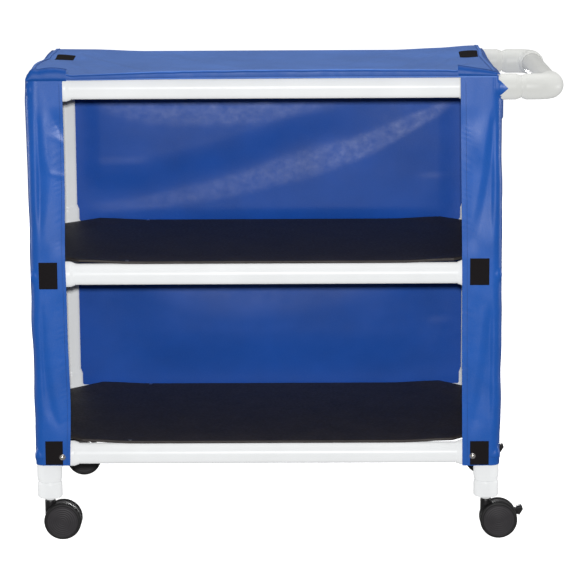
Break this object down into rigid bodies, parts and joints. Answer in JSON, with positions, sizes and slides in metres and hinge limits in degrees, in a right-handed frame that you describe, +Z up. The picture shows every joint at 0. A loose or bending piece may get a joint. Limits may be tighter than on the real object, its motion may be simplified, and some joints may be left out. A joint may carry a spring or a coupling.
{
  "type": "covered shelf cart",
  "caption": "Rolling cart of white plastic pipe with two dark shelves, a push handle and a blue cloth cover whose front flap is thrown back over the top.",
  "frame": {"origin": "on the floor under the middle of the outer box, with the flap thrown back", "axes": "+X towards the push handle, +Y from the open front to the closed back, +Z up"},
  "size_m": [1.0544, 0.5566, 0.9608],
  "materials": {
    "white_pipe_plastic": "satin white furniture pipe",
    "black_moulded_plastic": "matt moulded",
    "charcoal_wheel_plastic": "matt, hard tread",
    "black_shelf_plastic": "fine leather grain",
    "blue_coated_cloth": "coated outside, woven inside",
    "blue_cloth_inner_side": "woven inner side of the coated cloth"
  },
  "bodies": {
    "frame": {"top_front_rail": "white_pipe_plastic", "top_rear_rail": "white_pipe_plastic", "top_left_rail": "white_pipe_plastic", "top_right_rail": "white_pipe_plastic", "top_front_left_fitting": "white_pipe_plastic", "top_front_right_fitting": "white_pipe_plastic", "top_rear_left_fitting": "white_pipe_plastic", "top_rear_right_fitting": "white_pipe_plastic", "middle_front_rail": "white_pipe_plastic", "middle_rear_rail": "white_pipe_plastic", "middle_left_rail": "white_pipe_plastic", "middle_right_rail": "white_pipe_plastic", "middle_front_left_fitting": "white_pipe_plastic", "middle_front_right_fitting": "white_pipe_plastic", "middle_rear_left_fitting": "white_pipe_plastic", "middle_rear_right_fitting": "white_pipe_plastic", "bottom_front_rail": "white_pipe_plastic", "bottom_rear_rail": "white_pipe_plastic", "bottom_left_rail": "white_pipe_plastic", "bottom_right_rail": "white_pipe_plastic", "bottom_front_left_fitting": "white_pipe_plastic", "bottom_front_right_fitting": "white_pipe_plastic", "bottom_rear_left_fitting": "white_pipe_plastic", "bottom_rear_right_fitting": "white_pipe_plastic", "front_left_lower_post": "white_pipe_plastic", "front_left_upper_post": "white_pipe_plastic", "front_left_leg_cap": "white_pipe_plastic", "front_right_lower_post": "white_pipe_plastic", "front_right_upper_post": "white_pipe_plastic", "front_right_leg_cap": "white_pipe_plastic", "rear_left_lower_post": "white_pipe_plastic", "rear_left_upper_post": "white_pipe_plastic", "rear_left_leg_cap": "white_pipe_plastic", "rear_right_lower_post": "white_pipe_plastic", "rear_right_upper_post": "white_pipe_plastic", "rear_right_leg_cap": "white_pipe_plastic", "handle_front_elbow": "white_pipe_plastic", "handle_rear_elbow": "white_pipe_plastic", "handle_bar": "white_pipe_plastic", "upper_shelf_board": "black_shelf_plastic", "lower_shelf_board": "black_shelf_plastic", "cover_left_side": "blue_coated_cloth", "cover_right_side": "blue_coated_cloth", "cover_back": "blue_coated_cloth", "cover_top": "blue_coated_cloth", "cover_front_flap": "blue_cloth_inner_side"},
    "front_left_caster": {"front_left_caster_body": "black_moulded_plastic"},
    "front_left_near_wheel": {"front_left_near_wheel": "charcoal_wheel_plastic"},
    "front_left_far_wheel": {"front_left_far_wheel": "charcoal_wheel_plastic"},
    "front_right_caster": {"front_right_caster_body": "black_moulded_plastic"},
    "front_right_near_wheel": {"front_right_near_wheel": "charcoal_wheel_plastic"},
    "front_right_far_wheel": {"front_right_far_wheel": "charcoal_wheel_plastic"},
    "front_right_pedal": {"front_right_brake_pedal": "black_moulded_plastic"},
    "rear_left_caster": {"rear_left_caster_body": "black_moulded_plastic"},
    "rear_left_near_wheel": {"rear_left_near_wheel": "charcoal_wheel_plastic"},
    "rear_left_far_wheel": {"rear_left_far_wheel": "charcoal_wheel_plastic"},
    "rear_right_caster": {"rear_right_caster_body": "black_moulded_plastic"},
    "rear_right_near_wheel": {"rear_right_near_wheel": "charcoal_wheel_plastic"},
    "rear_right_far_wheel": {"rear_right_far_wheel": "charcoal_wheel_plastic"},
    "rear_right_pedal": {"rear_right_brake_pedal": "black_moulded_plastic"}
  },
  "joints": [
    {"name": "front_left_swivel", "type": "hinge", "parent": "frame", "child": "front_left_caster", "pos_m": [-0.50022, -0.24995, 0.08], "axis": [0, 0, 1], "continuous": true},
    {"name": "front_left_near_wheel_spin", "type": "hinge", "parent": "front_left_caster", "child": "front_left_near_wheel", "pos_m": [-0.47472, -0.26375, 0.0375], "axis": [0, 1, 0], "continuous": true},
    {"name": "front_left_far_wheel_spin", "type": "hinge", "parent": "front_left_caster", "child": "front_left_far_wheel", "pos_m": [-0.47472, -0.23615, 0.0375], "axis": [0, 1, 0], "continuous": true},
    {"name": "front_right_swivel", "type": "hinge", "parent": "frame", "child": "front_right_caster", "pos_m": [0.37978, -0.24995, 0.08], "axis": [0, 0, 1], "continuous": true},
    {"name": "front_right_near_wheel_spin", "type": "hinge", "parent": "front_right_caster", "child": "front_right_near_wheel", "pos_m": [0.40528, -0.26375, 0.0375], "axis": [0, 1, 0], "continuous": true},
    {"name": "front_right_far_wheel_spin", "type": "hinge", "parent": "front_right_caster", "child": "front_right_far_wheel", "pos_m": [0.40528, -0.23615, 0.0375], "axis": [0, 1, 0], "continuous": true},
    {"name": "front_right_pedal_hinge", "type": "hinge", "parent": "front_right_caster", "child": "front_right_pedal", "pos_m": [0.41328, -0.24995, 0.0475], "axis": [0, 1, 0], "range_deg": [0, 20]},
    {"name": "rear_left_swivel", "type": "hinge", "parent": "frame", "child": "rear_left_caster", "pos_m": [-0.50022, 0.24205, 0.08], "axis": [0, 0, 1], "continuous": true},
    {"name": "rear_left_near_wheel_spin", "type": "hinge", "parent": "rear_left_caster", "child": "rear_left_near_wheel", "pos_m": [-0.47472, 0.22825, 0.0375], "axis": [0, 1, 0], "continuous": true},
    {"name": "rear_left_far_wheel_spin", "type": "hinge", "parent": "rear_left_caster", "child": "rear_left_far_wheel", "pos_m": [-0.47472, 0.25585, 0.0375], "axis": [0, 1, 0], "continuous": true},
    {"name": "rear_right_swivel", "type": "hinge", "parent": "frame", "child": "rear_right_caster", "pos_m": [0.37978, 0.24205, 0.08], "axis": [0, 0, 1], "continuous": true},
    {"name": "rear_right_near_wheel_spin", "type": "hinge", "parent": "rear_right_caster", "child": "rear_right_near_wheel", "pos_m": [0.40528, 0.22825, 0.0375], "axis": [0, 1, 0], "continuous": true},
    {"name": "rear_right_far_wheel_spin", "type": "hinge", "parent": "rear_right_caster", "child": "rear_right_far_wheel", "pos_m": [0.40528, 0.25585, 0.0375], "axis": [0, 1, 0], "continuous": true},
    {"name": "rear_right_pedal_hinge", "type": "hinge", "parent": "rear_right_caster", "child": "rear_right_pedal", "pos_m": [0.41328, 0.24205, 0.0475], "axis": [0, 1, 0], "range_deg": [0, 20]}
  ]
}
